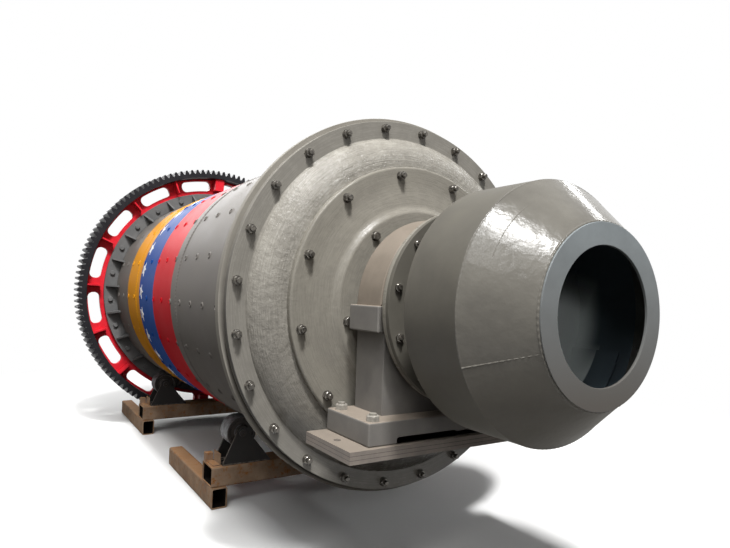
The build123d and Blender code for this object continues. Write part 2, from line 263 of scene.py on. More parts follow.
# Liner-bolt holes: rows of holes drilled round the shell, each with the lip that the drill and paint left.
# The lining's bolts are not in them, and the dark inside each hole is painted shade: a near-black disc at the
# shell's face.
liner_rows = 20
liner_row_turn = 3
liner_pitch = 247
liner_first = -163
liner_stations = 14
lip_outline = ((0, 23), (5, 17), (6, 14), (4, 11.8), (0.9, 11))
hole_shade_outline = ((-1, 11.5), (1.0, 11.4))


def fasteners(places, across, along, outward, outline, sides=12):
    """An outline of (height, radius, share of hexagon) carried round an axis at each place, with closed ends.
    A hexagon's radius is that across its flats, divided by the cosine of the angle from the nearest flat."""
    outline = np.array([(*row, 0)[:3] for row in outline], float)
    height, radius, hexagon = outline.T
    turn = np.linspace(0, 2 * np.pi, sides, endpoint=False)[:, None]
    from_flat = (turn + np.pi / 6) % (np.pi / 3) - np.pi / 6
    reach = radius * (1 + hexagon * (1 / np.cos(from_flat) - 1))
    places, across, along, outward = (
        np.broadcast_to(part, (len(places), 3))[:, None, None] for part in (places, across, along, outward))
    points = (places + (reach * np.cos(turn))[..., None] * across + (reach * np.sin(turn))[..., None] * along
              + height[:, None] * outward)
    steps = len(height)
    starts = np.arange(len(points))[:, None, None] * sides * steps
    ends = np.arange(sides) * steps + np.array([[0], [steps - 1]])
    return points, [(grid_faces(sides, steps, close_columns=False) + starts).reshape(-1, 4),
                    (ends + starts).reshape(-1, sides)]


station_x, row_turn = np.meshgrid(liner_first - liner_pitch * np.arange(liner_stations),
                                  np.radians(liner_row_turn + 360 / liner_rows * np.arange(liner_rows)))
station_x = station_x.ravel()
row_turn = row_turn.ravel()
liner_out = np.stack([0 * row_turn, np.cos(row_turn), np.sin(row_turn)], -1)
liner_along = np.stack([0 * row_turn, -np.sin(row_turn), np.cos(row_turn)], -1)
liner_places = liner_out * shell_radius + station_x[:, None] * np.array([1, 0, 0])
lips = fasteners(liner_places, (1, 0, 0), liner_along, liner_out, lip_outline)
# Painted shade: a near-black disc sits in each hole, at the shell's face.
holes = fasteners(liner_places, (1, 0, 0), liner_along, liner_out, hole_shade_outline)
add_piece("liner_hole_lips", [lips], shell_paint, "drum", "grey_enamel")
# Painted shade for an open hole: near black, with no shine.
painted_hole_shade, tree, shader, place = new_finish("painted_shade_of_open_hole")
coat(tree, shader, place, ("#060606", "#121110"), (0.8, 0.9), blotch=10)
add_piece("liner_hole_shade_discs", [holes], painted_hole_shade, "drum", "grey_enamel")

# Girth welds: the rings of the shell meet in butt welds, left as laid and painted over.
# Each is a low cap, about 5 mm proud, with the ripple of its passes.
girth_weld_x = (-1250, -2560)
bead_width = 38
bead_proud = 5
bead_ripple = 24
bead_step = 6


def round_mill(x, radius, first=0, last=360):
    """Points a few mm apart round the axis, from one angle to another, and the directions out from it."""
    count = int(radius * np.radians(last - first) / bead_step)
    angle = np.radians(np.linspace(first, last, count, endpoint=last - first < 360))
    outward = np.stack([0 * angle, np.cos(angle), np.sin(angle)], -1)
    return outward * radius + (x, 0, 0), outward


def bead(path, outward, width=bead_width, proud=bead_proud, closed=True):
    """Weld bead along a path of points: an arch of cosine height over its width, rippled along its length."""
    ahead = (np.roll(path, -1, 0) - np.roll(path, 1, 0)) / 2 if closed else np.gradient(path, axis=0)
    run = np.cumsum(np.linalg.norm(ahead, axis=1))[:, None]
    sideways = np.cross(ahead, outward)
    sideways /= np.linalg.norm(sideways, axis=1, keepdims=True)
    across = np.linspace(-1, 1, 9)
    spread = across * width / 2 * (1 + 0.1 * np.sin(run / 55))
    rise = (proud + 1) * np.cos(across * np.pi / 2) * (1 + 0.2 * np.sin(2 * np.pi * run / bead_ripple)) - 1
    points = path[:, None] + sideways[:, None] * spread[..., None] + outward[:, None] * rise[..., None]
    faces = [grid_faces(len(path), len(across), close_rows=closed)]
    if not closed:
        faces.append(np.arange(len(across)) + np.array([[0], [(len(path) - 1) * len(across)]]))
    return points, faces


add_piece("girth_welds", [bead(*round_mill(x, shell_radius)) for x in girth_weld_x], shell_paint, "drum",
          "grey_enamel")

# Shell flanges: rings cut from thick plate, welded round the ends of the shell, faced in a lathe and painted.
# Both stand out beyond the flanges of the heads. The gear end's ring is in dark primer, with 24 triangular
# plates to stiffen it.
feed_flange_radius = 1020
feed_ring_radius = 1044
gear_ring_radius = 1051
shell_flange_thick = 45
plate_edge = 3
painted_corner_shade = "#2f2c29"
painted_corner_shade_share = 0.85
painted_shade_heights = (450, -250)


def rounded(corners, radius=plate_edge, steps=4):
    """Closed outline whose corner c is cut back to a and b and bridged by a(1-t)^2 + 2ct(1-t) + bt^2."""
    corners = np.asarray(corners, float)
    before = np.roll(corners, 1, 0) - corners
    after = np.roll(corners, -1, 0) - corners
    reach_before = np.linalg.norm(before, axis=1, keepdims=True)
    reach_after = np.linalg.norm(after, axis=1, keepdims=True)
    wanted = np.broadcast_to(radius, len(corners))[:, None]
    cut = np.minimum(wanted, 0.45 * np.minimum(reach_before, reach_after))
    start = (corners + before / reach_before * cut)[:, None]
    end = (corners + after / reach_after * cut)[:, None]
    t = np.linspace(0, 1, steps + 1)[None, :, None]
    return (start * (1 - t) ** 2 + 2 * corners[:, None] * t * (1 - t) + end * t ** 2).reshape(-1, 2)


def plain_ring(x_low, x_high, inner, outer, edge=plate_edge):
    """Rectangle of (x, r) with eased corners, turned about the mill axis."""
    return turned(rounded([(x_low, inner), (x_high, inner), (x_high, outer), (x_low, outer)], edge))


def finish_nodes(finish, *nodes):
    """Gives CAD nodes that keep their shape a finish."""
    for node in nodes:
        for node_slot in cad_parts[node].material_slots:
            node_slot.material = finish


# Grey enamel on a faced ring: flat and dull, with painted shade in the corner against the head's flange, most
# of it low down, where that flange shades it.
flange_paint, tree, shader, place = new_finish("grey_enamel_on_faced_steel_with_painted_shade")
ring_grey = coat(tree, shader, place, ("#7f7b73", "#8a867e"), (0.6, 0.72), blotch=180, grit=4, lift=0.12,
                 sheen=0.05)
radius = from_axis(tree, place)[1]
# Painted shade: darker close to the head's flange, and more so low down, where that flange's shadow falls.
corner = add_node(tree, "MapRange", {0: radius, 1: (feed_flange_radius + 4) * mm,
                                     2: (feed_ring_radius - 4) * mm, 3: painted_corner_shade_share, 4: 0.0}).outputs[0]
low = below(tree, place, *painted_shade_heights)
corner = add_node(tree, "Math", {0: corner, 1: low}, operation="MULTIPLY").outputs[0]
colour = add_node(tree, "Mix", {0: corner, 6: ring_grey, 7: linear(painted_corner_shade)}, data_type="RGBA").outputs[2]
tree.links.new(colour, shader.inputs["Base Color"])
# Dark grey primer: matt, even and a little rough.
ring_primer, tree, shader, place = new_finish("dark_grey_primer")
coat(tree, shader, place, ("#5a5a5a", "#6c6b6a"), (0.5, 0.65), blotch=140, grit=5, lift=0.25, sheen=0.1)
feed_ring_back = shell_front - shell_flange_thick
add_piece("feed_shell_flange", [plain_ring(feed_ring_back, shell_front, shell_radius, feed_ring_radius)],
          flange_paint, "drum", "grey_enamel", "feed_shell_flange")
gear_ring_front = shell_rear + shell_flange_thick
add_piece("gear_mount_flange", [plain_ring(shell_rear, gear_ring_front, shell_radius, gear_ring_radius)],
          ring_primer, "drum", "dark_grey_primer", "gear_mount_flange")
finish_nodes(ring_primer, "gear_flange_gussets")

# Heads: iron castings, each a flat bolting flange, a rounded dish and a machined pad for the trunnion.
# The dish was filled and brushed round and round by hand before the grey enamel, so swirls show in it.
# Painted shade darkens the low part of the dish, and a band round the lower part of the flange's rim.
gear_web_thick = 40
rear_face = shell_rear - gear_web_thick - head_flange_thick
dish_radius = 923
dish_rise = 88
dish_bulge = 26
dish_step = 8
pad_radius = 758
head_bore_radius = 400
head_inside = 30
head_edge = (5, 5, 5, 5, 3, 3)
painted_rim_shade_span = (-35, -2)
rim_dulling = 0.45
flange_tone = "#68655f"
flange_tone_share = 0.55
painted_dish_shade = "#45413b"
painted_dish_shade_share = 0.65
painted_dish_shade_heights = (150, -850)
dish_start = np.array([dish_step, dish_radius - 3])
dish_end = np.array([dish_rise, pad_radius])
chord = dish_end - dish_start
crown = dish_start + chord / 2 + dish_bulge * np.array([-chord[1], chord[0]]) / np.hypot(*chord)
t = np.linspace(0, 1, 16)[:, None]
bend = 2 * crown - (dish_start + dish_end) / 2
dish_curve = (1 - t) ** 2 * dish_start + 2 * t * (1 - t) * bend + t ** 2 * dish_end
head_corners = [(dish_rise, head_bore_radius), (head_inside, head_bore_radius),
                (head_inside, pad_radius - 29), (-head_flange_thick, shell_bore),
                (-head_flange_thick, feed_flange_radius), (0, feed_flange_radius)]
head_loop = np.concatenate([[(0, dish_radius + 1)], dish_curve, rounded(head_corners, head_edge)])


def at_rear(shape):
    """The same shape at the discharge end, turned to face the other way."""
    points, faces = shape
    return np.asarray(points) * (-1, -1, 1) + (rear_face, 0, 0), faces


# Grey enamel over hand-brushed filler: glossy strokes and small lumps on the dish, and a flat flange.
head_paint, tree, shader, place = new_finish("grey_enamel_on_brushed_casting_with_painted_shade")
enamel = coat(tree, shader, place, ("#7a766e", "#9f9b92"), (0.17, 0.34), blotch=90, grit=9, lift=0.85,
              sheen=0.3, swirl=28)
radius = from_axis(tree, place)[1]
along = add_node(tree, "SeparateXYZ", {0: place}).outputs[0]
# Painted shade: a dark band round the head flange's rim, strongest low down and gone near the top.
rim_start = (feed_flange_radius - 2) * mm
rim = add_node(tree, "Math", {0: radius, 1: rim_start}, operation="GREATER_THAN").outputs[0]
from_middle = add_node(tree, "Math", {0: along, 1: rear_face / 2 * mm}, operation="SUBTRACT").outputs[0]
from_middle = add_node(tree, "Math", {0: from_middle}, operation="ABSOLUTE").outputs[0]
painted_rim_shade_middle = sum(painted_rim_shade_span) / 2 - rear_face / 2
painted_rim_shade_half = (painted_rim_shade_span[1] - painted_rim_shade_span[0]) / 2
line = add_node(tree, "Math", {0: from_middle, 1: painted_rim_shade_middle * mm, 2: painted_rim_shade_half * mm},
                operation="COMPARE").outputs[0]
line = add_node(tree, "Math", {0: line, 1: rim}, operation="MULTIPLY").outputs[0]
low = below(tree, place, *painted_shade_heights)
line = add_node(tree, "Math", {0: line, 1: low}, operation="MULTIPLY").outputs[0]
dish_edge = {0: radius, 1: (dish_radius - 8) * mm, 2: (dish_radius + 4) * mm}
flat = add_node(tree, "MapRange", dish_edge).outputs[0]
faced = add_node(tree, "Mix", {0: flange_tone_share, 6: enamel, 7: linear(flange_tone)},
                 data_type="RGBA").outputs[2]
# Painted shade: the dish is darker towards the bottom.
low = below(tree, place, *painted_dish_shade_heights)
low = add_node(tree, "Math", {0: low, 1: painted_dish_shade_share}, operation="MULTIPLY").outputs[0]
shaded_low_dish = add_node(tree, "Mix", {0: low, 6: enamel, 7: linear(painted_dish_shade)}, data_type="RGBA").outputs[2]
enamel = add_node(tree, "Mix", {0: flat, 6: shaded_low_dish, 7: faced}, data_type="RGBA").outputs[2]
relief = add_node(tree, "MapRange", {0: flat, 3: 1.0, 4: 0.15}).outputs[0]
tree.links.new(relief, tree.nodes["Bump"].inputs["Strength"])
duller(tree, shader, rim, rim_dulling)
colour = add_node(tree, "Mix", {0: line, 6: enamel, 7: linear(painted_corner_shade)}, data_type="RGBA").outputs[2]
tree.links.new(colour, shader.inputs["Base Color"])
head_shape = turned(head_loop, turns=240, uneven=0.5)
add_piece("feed_head", [head_shape], head_paint, "drum", "grey_enamel", "feed_head")
add_piece("discharge_head", [at_rear(head_shape)], head_paint, "drum", "grey_enamel", "discharge_head")

# Trunnions: steel castings bolted to the heads, with a hub, a polished journal and an end flange.
# Grey enamel covers what the bearing leaves in sight. Corners are (x, radius, rounding).
trunnion_face = 121
hub_face = 162
trunnion_outline = (
    (30, 230, 3), (30, 399.5, 3), (dish_rise, 399.5, 1), (dish_rise, 750, 1), (trunnion_face, 750, 16),
    (trunnion_face, 640, 30), (138, 528, 20), (hub_face, 500, 9), (hub_face, 360, 6), (182, 340, 8),
    (490, 340, 2), (490, 470, 3), (515, 470, 3), (515, 230, 3))
trunnion_loop = rounded([row[:2] for row in trunnion_outline], [row[2] for row in trunnion_outline])
trunnion_shape = turned(trunnion_loop, uneven=0.15)
# Grey enamel on a turned casting: smoother than the head, with a soft shine and faint turning marks.
trunnion_paint, tree, shader, place = new_finish("grey_enamel_on_turned_casting")
coat(tree, shader, place, ("#757169", "#878379"), (0.2, 0.36), blotch=120, grit=6, lift=0.3, sheen=0.2,
     swirl=34)
add_piece("feed_trunnion", [trunnion_shape], trunnion_paint, "drum", "grey_enamel", "feed_trunnion")
add_piece("discharge_trunnion", [at_rear(trunnion_shape)], trunnion_paint, "drum", "grey_enamel",
          "discharge_trunnion")

# Bolts: M27 studs with a hexagon nut and a washer on every flange, black from the forge and not painted.
# Each stands out of its face by the thread that is left over. A ring is (radius, count, first angle).
flange_bolt_ring = (978, 24, 9.3)
trunnion_bolt_ring = (700, 12, 10.5)
hub_bolt_ring = (462, 6, 11)
nut_outline = ((-2, 25), (3.6, 25), (4.2, 24), (4.2, 20.5, 1), (22.5, 20.5, 1), (25.5, 19.2, 0), (25.8, 13.6),
               (43, 13.5), (45.5, 11), (45.6, 4))
head_bolt_outline = ((-2, 25), (3.6, 25), (4.2, 24), (4.2, 20.5, 1), (18.5, 20.5, 1), (21.5, 19, 0),
                     (21.6, 8))
# Blackened steel: near black, with small bright spots where the scale has come off.
nut_steel, tree, shader, place = new_finish("blackened_steel")
coat(tree, shader, place, ("#1d1b19", "#736e66"), (0.16, 0.28), blotch=14, grit=2, lift=0.1, sheen=0.5)
shader.inputs["Metallic"].default_value = 0.4


def bolt_circle(x, radius, count, first, facing, outline=nut_outline):
    """Fasteners evenly spaced on a circle about the axis, from a first angle, facing along it or back."""
    turn = np.radians(first + 360 / count * np.arange(count))
    out = np.stack([0 * turn, np.cos(turn), np.sin(turn)], -1)
    along = np.stack([0 * turn, -np.sin(turn), np.cos(turn)], -1)
    return fasteners(out * radius + (x, 0, 0), out, along, (facing, 0, 0), outline)


flange_bolts = bolt_circle(0, *flange_bolt_ring, 1)
flange_bolt_heads = bolt_circle(feed_ring_back, *flange_bolt_ring, -1, head_bolt_outline)
trunnion_bolts = bolt_circle(trunnion_face, *trunnion_bolt_ring, 1)
hub_bolts = bolt_circle(hub_face, *hub_bolt_ring, 1, head_bolt_outline)
add_piece("feed_flange_bolts", [flange_bolts, flange_bolt_heads], nut_steel, "drum", "grey_enamel")
add_piece("discharge_flange_bolts", [at_rear(flange_bolts)], nut_steel, "drum", "grey_enamel")
add_piece("feed_trunnion_bolts", [trunnion_bolts, hub_bolts], nut_steel, "drum", "grey_enamel")
add_piece("discharge_trunnion_bolts", [at_rear(trunnion_bolts), at_rear(hub_bolts)], nut_steel, "drum",
          "grey_enamel")

# Girth gear: a steel casting in two halves, its web and spokes brushed with red enamel.
# The teeth and their rim are bare and dark with grease, and painted bolts hold the web to the ring.
gear_rim_radius = 1212
gear_bolt_ring = (996, 24, 5.5)
# Red enamel over a rough casting: bright and satin. The teeth are dark with graphite grease.
gear_paint, tree, shader, place = new_finish("red_enamel_and_greased_teeth")
red = coat(tree, shader, place, ("#c4202c", "#dc2e3a"), (0.3, 0.42), blotch=90, grit=7, lift=0.25, sheen=0.1)
radius = from_axis(tree, place)[1]
rim_edge = {0: radius, 1: (gear_rim_radius - 2) * mm, 2: gear_rim_radius * mm}
teeth = add_node(tree, "MapRange", rim_edge).outputs[0]
grease = add_node(tree, "TexNoise", {"Vector": place, "Scale": per_size(60), "Detail": 5.0}).outputs[0]
graphite = add_node(tree, "Mix", {0: grease, 6: linear("#17171a"), 7: linear("#2d2c2f")},
                    data_type="RGBA").outputs[2]
colour = add_node(tree, "Mix", {0: teeth, 6: red, 7: graphite}, data_type="RGBA").outputs[2]
tree.links.new(colour, shader.inputs["Base Color"])
finish_nodes(gear_paint, "gear_half_left", "gear_half_right")
ring_bolts = bolt_circle(gear_ring_front, *gear_bolt_ring, 1, head_bolt_outline)
add_piece("gear_ring_bolts", [ring_bolts], ring_primer, "drum", "dark_grey_primer")

# Feed drum: 10 mm plate rolled into a drum and a cone, welded to a back plate, a neck and a mouth ring.
# The drum is sprayed in a dull dark grey, the cone and its ring in a smoother, glossier and lighter one.
# Inside, a pale pool of painted light on the back fades forward and up into the dark coat, with a crisp edge
# only low down.
neck_face = 541
neck_back = 515
neck_radius = 300
neck_bore = 280
neck_flange_radius = 470
plate_back = 756
neck_loop = rounded([(neck_back, neck_bore), (neck_back, neck_flange_radius), (neck_face, neck_flange_radius),
                     (neck_face, neck_radius + 12), (neck_face + 12, neck_radius), (plate_back, neck_radius),
                     (plate_back, neck_bore)], 3)
drum_radius = 545
drum_back = 768
drum_front = 1066
cone_front = 1276
cone_mouth = 361
plate_thick = 10
mouth_face = 1288
mouth_ring_radius = 356
mouth_radius = 268
painted_light_tone = "#c3cac9"
dark_coat = "#465057"
painted_light_end = 895
painted_light_fade_start = 775
painted_light_middle = (700, 420, -200)
painted_light_reach = (220, 430)
painted_light_crisp_heights = (-150, -290)
# Dull grey enamel on rolled plate: flat, dark and almost without shine, with a pool of painted light inside.
drum_paint, tree, shader, place = new_finish("dull_grey_enamel_with_painted_light_inside")
outside = coat(tree, shader, place, ("#53504a", "#605d55"), (0.42, 0.55), blotch=240, grit=9, lift=0.12,
               sheen=0.1)
radius = from_axis(tree, place)[1]
along = add_node(tree, "SeparateXYZ", {0: place}).outputs[0]
within = add_node(tree, "Math", {0: radius, 1: (drum_radius - 4) * mm}, operation="LESS_THAN").outputs[0]
before = add_node(tree, "Math", {0: along, 1: (drum_back - 1) * mm}, operation="GREATER_THAN").outputs[0]
inside = add_node(tree, "Math", {0: within, 1: before}, operation="MULTIPLY").outputs[0]
# Painted light: a pale pool on the back plate and the wall near it, soft at the top and front and crisp low
# down, where light through the mouth falls.
crisp_edge = add_node(tree, "MapRange", {0: along, 1: painted_light_end * mm, 2: (painted_light_end + 8) * mm}).outputs[0]
from_patch = {0: place, 1: Vector(painted_light_middle) * mm}
spread = add_node(tree, "VectorMath", from_patch, operation="DISTANCE").outputs["Value"]
faded = add_node(tree, "MapRange", {0: spread, 1: painted_light_reach[0] * mm, 2: painted_light_reach[1] * mm},
                 interpolation_type="SMOOTHSTEP").outputs[0]
dark = add_node(tree, "Math", {0: crisp_edge, 1: faded}, operation="MAXIMUM").outputs[0]
soft_edge = add_node(tree, "MapRange", {0: along, 1: painted_light_fade_start * mm, 2: painted_light_end * mm},
                     interpolation_type="SMOOTHSTEP").outputs[0]
crisp = below(tree, place, *painted_light_crisp_heights)
soft_edge = add_node(tree, "Mix", {0: crisp, 2: soft_edge, 3: 0.0}).outputs[0]
dark = add_node(tree, "Math", {0: dark, 1: soft_edge}, operation="MAXIMUM").outputs[0]
coat_and_painted_light = add_node(tree, "Mix", {0: dark, 6: linear(painted_light_tone), 7: linear(dark_coat)},
                  data_type="RGBA").outputs[2]
colour = add_node(tree, "Mix", {0: inside, 6: outside, 7: coat_and_painted_light}, data_type="RGBA").outputs[2]
tree.links.new(colour, shader.inputs["Base Color"])
# Gloss grey enamel on rolled plate: broad highlights, broken by the dents of the rolling, and a dusty belly.
belly_heights = (-120, -330)
belly_dulling = 0.45
cone_paint, tree, shader, place = new_finish("gloss_grey_enamel_on_rolled_plate")
coat(tree, shader, place, ("#5d5a54", "#6a6760"), (0.15, 0.27), blotch=190, grit=34, lift=1.6, sheen=0.18)
duller(tree, shader, below(tree, place, *belly_heights), belly_dulling)
add_piece("feeder_neck", [turned(neck_loop)], drum_paint, "drum", "grey_enamel", "feeder_neck")
back_plate = plain_ring(plate_back, drum_back, neck_bore, drum_radius)
add_piece("feeder_back_plate", [back_plate], drum_paint, "drum", "grey_enamel", "feeder_back_plate")
drum_steps = np.linspace(drum_back, drum_front, 14)
drum_bore = drum_radius - plate_thick
drum_loop = [(x, drum_radius) for x in drum_steps] + [(x, drum_bore) for x in drum_steps[::-1]]
add_piece("feeder_drum", [turned(drum_loop, uneven=0.35)], drum_paint, "drum", "grey_enamel", "feeder_drum")
cone_steps = np.linspace(0, 1, 14)
cone_x = drum_front + cone_steps * (cone_front - drum_front)
cone_r = drum_radius + cone_steps * (cone_mouth - drum_radius)
cone_loop = list(zip(cone_x, cone_r)) + list(zip(cone_x[::-1], cone_r[::-1] - plate_thick))
add_piece("feeder_cone", [turned(cone_loop, uneven=0.5)], cone_paint, "drum", "grey_enamel", "feeder_cone")
# Grey enamel on a flat ring, smooth, with painted reflection: bluish as of the sky, and browner and darker
# towards the foot as of the floor.
painted_floor_reflection = "#55514c"
painted_reflection_heights = (330, -330)
ring_paint, tree, shader, place = new_finish("grey_enamel_with_painted_reflection_on_mouth_ring")
cool = coat(tree, shader, place, ("#787e80", "#868c8e"), (0.3, 0.42), blotch=150, grit=6, lift=0.12,
            sheen=0.15)
# Painted reflection: browner and darker towards the foot.
low = below(tree, place, *painted_reflection_heights)
colour = add_node(tree, "Mix", {0: low, 6: cool, 7: linear(painted_floor_reflection)}, data_type="RGBA").outputs[2]
tree.links.new(colour, shader.inputs["Base Color"])
mouth_ring = plain_ring(cone_front, mouth_face, mouth_radius, mouth_ring_radius, 2.5)
add_piece("feeder_mouth_ring", [mouth_ring], ring_paint, "drum", "grey_enamel", "feeder_mouth_ring")
finish_nodes(drum_paint, "feeder_scoop")

# Welds of the feed drum: fillets where its plates meet, the butt weld down the cone, and the end of a patch
# above it. They were left as laid and sprayed over. The neck's bolts are short hexagon heads.
cone_weld_turn = 201.5
patch_weld = (1136, 112, 155)
cone_drop = drum_radius - cone_mouth
cone_length = cone_front - drum_front
cone_out = np.array([cone_drop, cone_length]) / np.hypot(cone_drop, cone_length)
patch_radius = drum_radius - (patch_weld[0] - drum_front) * cone_drop / cone_length
patch_path, patch_out = round_mill(patch_weld[0], patch_radius, *patch_weld[1:])
seam_share = np.linspace(0, 1, 60)[:, None]
seam_turn = np.radians(cone_weld_turn)
seam_out = np.array([0, np.cos(seam_turn), np.sin(seam_turn)])
seam_path = (1 - seam_share) * (seam_out * drum_radius + (drum_front, 0, 0)) + seam_share * (
    seam_out * cone_mouth + (cone_front - 4, 0, 0))
seam_lean = np.broadcast_to(seam_out * cone_out[1] + (cone_out[0], 0, 0), seam_path.shape)


def leaning(path, outward, lean):
    """The same path with its outward directions leaned towards the feed end by a share."""
    outward = outward * np.sqrt(1 - lean ** 2) + (lean, 0, 0)
    return path, outward


# Each bead has its lean, its width and how far it stands proud.
feeder_welds = [bead(*leaning(*round_mill(drum_front, drum_radius - 0.5), 0.35), 9, 1.0),
                bead(*leaning(*round_mill(cone_front + 1, mouth_ring_radius + 2), 0.75), 15, 4.2),
                bead(*leaning(*round_mill(plate_back, neck_radius + 1), -0.7), 14, 4.0),
                bead(*leaning(patch_path, patch_out, cone_out[0]), 7, 0.4, closed=False),
                bead(seam_path, seam_lean, 10, 3.5, closed=False)]
add_piece("feeder_welds", feeder_welds, cone_paint, "drum", "grey_enamel")
neck_bolt_outline = ((-2, 18), (12, 18, 1), (14.5, 16.5, 0), (14.6, 10), (24, 10), (24.1, 4))
neck_bolt_ring = (430, 12, 18.4)
neck_bolts = bolt_circle(neck_face, *neck_bolt_ring, 1, neck_bolt_outline)
add_piece("feeder_neck_bolts", [neck_bolts], nut_steel, "drum", "grey_enamel")

# Bearings: cast iron pedestals with a half-round cap over the journal, on three loose sole plates.
# They are painted with the mill, the cap in a warmer batch of grey, and dust lies on what faces up.
bearing_radius = 340.3
base_half = 560
base_bottom = -605
hollow_top = -581
hollow_ends = (73, 403)
base_span = (180, 551)
upright_half = 422
upright_span = (205, 444)
lug_half = 468
lug_drop = 123
lug_span = (205, 456)
cap_radius = 446
cap_span = (236, 444)
base_top = -501
upright_sink = 20
lug_inner = (330, 345)
hold_down_places = [(x, y, base_top) for x in (237, 511) for y in (-514, 514)]
hold_down_outline = ((-1, 27.5, 1), (22, 27.5, 1), (25.5, 25.5, 0), (25.6, 17), (34, 17), (34.1, 5))
casting_edge = 7


def extruded(outline, low, high, edge=casting_edge):
    """Closed outline carried along the mill axis, drawn in by e(1 - sin a) at e(1 - cos a) from each end."""
    outline = np.asarray(outline, float)
    following = np.roll(outline, -1, 0)
    ahead = following - np.roll(outline, 1, 0)
    turning = np.sign(np.sum(outline[:, 0] * following[:, 1] - following[:, 0] * outline[:, 1]))
    ahead /= np.linalg.norm(ahead, axis=1, keepdims=True)
    outward = turning * np.stack([ahead[:, 1], -ahead[:, 0]], -1)
    bend = np.linspace(0, np.pi / 2, 5)
    drawn_in = edge * (1 - np.sin(bend))
    depth = edge * (1 - np.cos(bend))
    drawn_in = np.concatenate([drawn_in, drawn_in[::-1]])
    along = np.concatenate([low + depth, high - depth[::-1]])
    flat = outline - drawn_in[:, None, None] * outward
    points = np.stack(np.broadcast_arrays(along[:, None], flat[..., 0], flat[..., 1]), -1)
    ends = np.arange(len(outline)) + np.array([[0], [(len(along) - 1) * len(outline)]])
    return points, [grid_faces(len(along), len(outline), close_rows=False), ends]


def arc(radius, first, last, steps=48):
    """Points (y, z) on a circle about the axis, from one angle to another."""
    angle = np.radians(np.linspace(first, last, steps))
    return np.stack([radius * np.cos(angle), radius * np.sin(angle)], -1)


def settle(tree, shader, colour, dust_tone, share):
    """Dust over a colour where a face is turned up."""
    facing = add_node(tree, "NewGeometry").outputs["Normal"]
    up = add_node(tree, "SeparateXYZ", {0: facing}).outputs[2]
    lying = add_node(tree, "MapRange", {0: up, 1: 0.6, 2: 0.95, 3: 0.0, 4: share}).outputs[0]
    dusty = add_node(tree, "Mix", {0: lying, 6: colour, 7: linear(dust_tone)}, data_type="RGBA").outputs[2]
    tree.links.new(dusty, shader.inputs["Base Color"])
    return dusty


# Grey enamel on a sand casting: satin and slightly grainy, with brown dust on its ledges.
pedestal_paint, tree, shader, place = new_finish("grey_enamel_on_cast_pedestal")
colour = coat(tree, shader, place, ("#6b6865", "#787570"), (0.4, 0.55), blotch=110, grit=6, lift=0.3,
              sheen=0.15)
settle(tree, shader, colour, "#8f8376", 0.8)
# Warm grey enamel on the cap: the same coat from a browner batch, even and satin.
cap_paint, tree, shader, place = new_finish("warm_grey_enamel_on_cap")
coat(tree, shader, place, ("#736a5f", "#81776c"), (0.42, 0.56), blotch=120, grit=5, lift=0.25, sheen=0.2)
low_turn = np.degrees(np.arcsin(lug_drop / bearing_radius))
base_right = [(hollow_ends[0], base_bottom), (hollow_ends[0], hollow_top), (hollow_ends[1], hollow_top),
              (hollow_ends[1], base_bottom), (base_half, base_bottom), (base_half, base_top)]
base_corners = base_right + [(-y, z) for y, z in base_right[::-1]]
base_edge = [5, 4, 4, 6, 9, 9]
base_shape = extruded(rounded(base_corners, base_edge + base_edge[::-1]), *base_span)
upright_foot = base_top - upright_sink
upright_corners = [(-upright_half, -lug_drop), (-upright_half, upright_foot), (upright_half, upright_foot),
                   (upright_half, -lug_drop)]
upright_outline = np.concatenate([upright_corners, arc(bearing_radius, -low_turn, low_turn - 180)])
upright_shape = extruded(upright_outline, *upright_span)
lug_corners = [(lug_inner[0], -lug_drop), (lug_half, -lug_drop), (lug_half, 0), (lug_inner[1], 0)]
lug_outline = np.concatenate([rounded(lug_corners, [2, 9, 9, 2]), arc(bearing_radius, -1, -low_turn, 16)])
lug_shape = extruded(lug_outline, *lug_span)
left_lug = (lug_shape[0] * (1, -1, 1), lug_shape[1])
cap_outline = np.concatenate([arc(cap_radius, 0, 180, 96), arc(bearing_radius, 180, 0, 96)])
cap_shape = extruded(cap_outline, *cap_span)
hold_downs = fasteners(np.array(hold_down_places), (1, 0, 0), (0, 1, 0), (0, 0, 1), hold_down_outline)
pedestal_shapes = [base_shape, upright_shape, lug_shape, left_lug]
# Painted nuts, worn by the spanner: pale grey, dull, and patchy.
worn_steel, tree, shader, place = new_finish("worn_painted_nut")
coat(tree, shader, place, ("#76726b", "#9c978e"), (0.4, 0.55), blotch=16, grit=3)
add_piece("feed_bearing_pedestal", pedestal_shapes, pedestal_paint, "frame", "grey_enamel",
          "feed_bearing_pedestal")
rear_pedestal_shapes = [at_rear(shape) for shape in pedestal_shapes]
add_piece("discharge_bearing_pedestal", rear_pedestal_shapes, pedestal_paint, "frame", "grey_enamel",
          "discharge_bearing_pedestal")
add_piece("feed_bearing_cap", [cap_shape], cap_paint, "frame", "grey_enamel", "feed_bearing_cap")
add_piece("discharge_bearing_cap", [at_rear(cap_shape)], cap_paint, "frame", "grey_enamel",
          "discharge_bearing_cap")
add_piece("hold_down_nuts", [hold_downs, at_rear(hold_downs)], worn_steel, "frame", "grey_enamel")

# Sole plates: three flame-cut plates in a stack under each pedestal, drilled for the foundation bolts.
# The joints between them show as dark lines, with the paint worn off along the edges.
sole_thick = 18
sole_line = 1.6
joint_tone = "#35302c"
